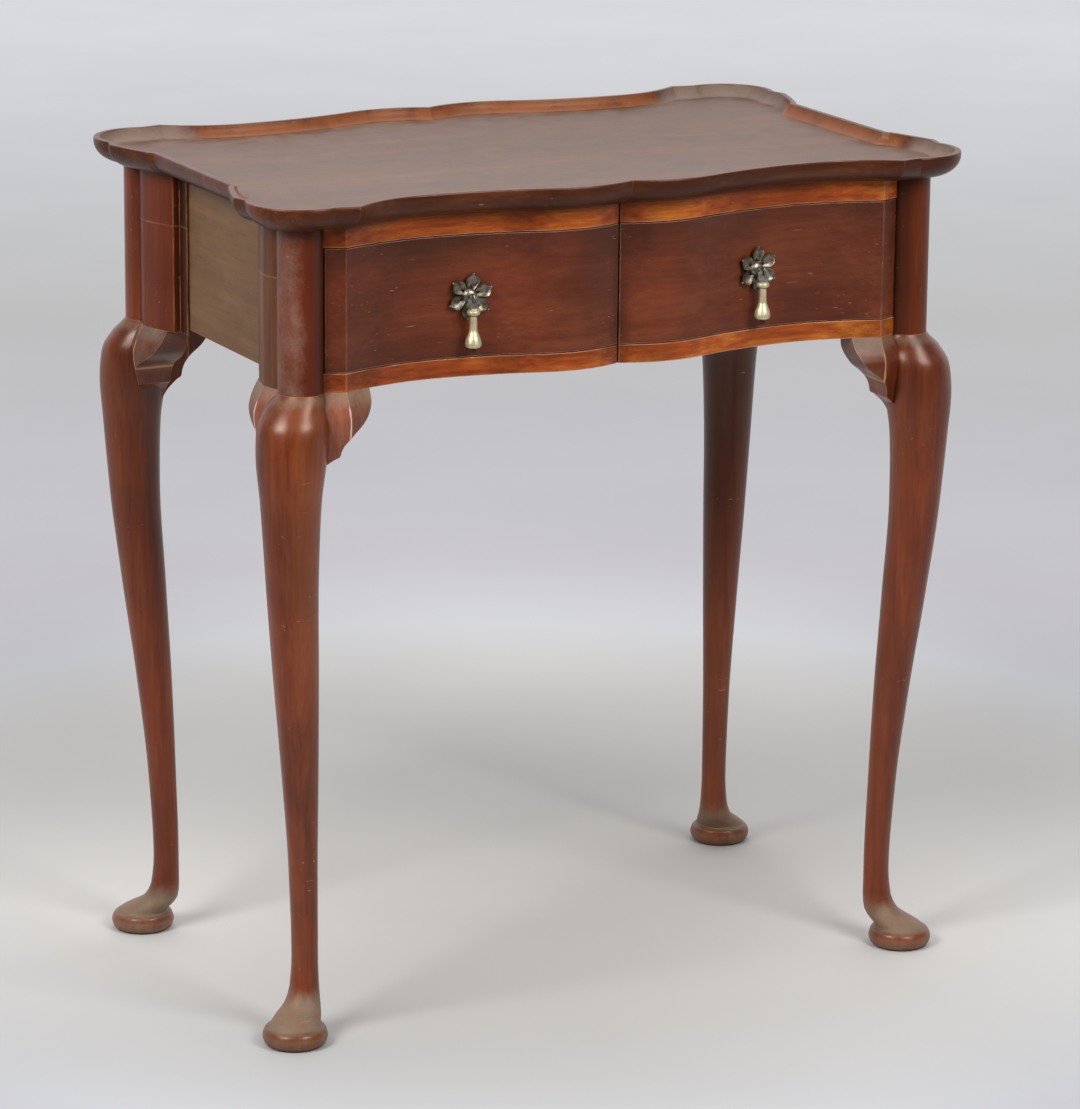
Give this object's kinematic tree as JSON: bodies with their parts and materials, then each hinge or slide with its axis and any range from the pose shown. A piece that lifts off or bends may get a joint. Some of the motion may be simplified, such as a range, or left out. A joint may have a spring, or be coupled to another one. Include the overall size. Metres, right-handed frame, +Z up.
{
  "type": "tray top tea table",
  "caption": "Oblong tea table with a dished, shaped tray top, serpentine frieze drawer with two drop pulls, and cabriole legs on pad feet.",
  "frame": {"origin": "on the floor, under the middle of the table", "axes": "+X along the width to the right as the drawer is faced, +Y from the drawer side to the back, +Z up"},
  "size_m": [0.6542, 0.4138, 0.71],
  "materials": {
    "tray_wood": "worn polish, greyed inside the tray",
    "case_wood": "old polished mahogany",
    "leg_wood": "old polished mahogany, glossy",
    "inner_wood": "plain planed wood",
    "dark_brass": "darkened cast brass",
    "yellow_brass": "rubbed brass"
  },
  "bodies": {
    "carcass": {"tray_top": "tray_wood", "leg_front_left": "leg_wood", "leg_front_right": "leg_wood", "leg_back_left": "leg_wood", "leg_back_right": "leg_wood", "knee_block_rail_front_left": "leg_wood", "knee_block_rail_front_right": "leg_wood", "knee_block_rail_back_left": "leg_wood", "knee_block_rail_back_right": "leg_wood", "knee_block_side_front_left": "leg_wood", "knee_block_side_front_right": "leg_wood", "knee_block_side_back_left": "leg_wood", "knee_block_side_back_right": "leg_wood", "pilaster_upper_front_left": "case_wood", "pilaster_upper_front_right": "case_wood", "pilaster_upper_back_left": "case_wood", "pilaster_upper_back_right": "case_wood", "pilaster_lower_front_left": "case_wood", "pilaster_lower_front_right": "case_wood", "pilaster_lower_back_left": "case_wood", "pilaster_lower_back_right": "case_wood", "side_board_left": "case_wood", "side_board_right": "case_wood", "drawer_runner_left": "inner_wood", "drawer_runner_right": "inner_wood", "drawer_guide_left": "inner_wood", "drawer_guide_right": "inner_wood", "drawer_kicker_left": "inner_wood", "drawer_kicker_right": "inner_wood", "front_top_rail": "case_wood", "front_lower_rail": "case_wood", "back_apron": "case_wood", "drawer_stops": "inner_wood", "glue_blocks": "inner_wood"},
    "drawer": {"drawer_front": "case_wood", "drawer_side_left": "inner_wood", "drawer_side_right": "inner_wood", "drawer_back": "inner_wood", "drawer_bottom": "inner_wood", "pull_roses": "dark_brass", "pull_posts": "yellow_brass", "pull_nuts": "yellow_brass"},
    "drop_left": {"pull_drop_left": "yellow_brass"},
    "drop_right": {"pull_drop_right": "yellow_brass"}
  },
  "joints": [
    {"name": "drawer_slide", "type": "slide", "parent": "carcass", "child": "drawer", "axis": [0, -1, 0], "range_m": [0, 0.21]},
    {"name": "drop_left_swing", "type": "hinge", "parent": "drawer", "child": "drop_left", "pos_m": [-0.1348, -0.17441, 0.62], "axis": [-0.9919, 0.1272, 0], "range_deg": [0, 100]},
    {"name": "drop_right_swing", "type": "hinge", "parent": "drawer", "child": "drop_right", "pos_m": [0.1348, -0.17441, 0.62], "axis": [-0.9919, -0.1272, 0], "range_deg": [0, 100]}
  ]
}
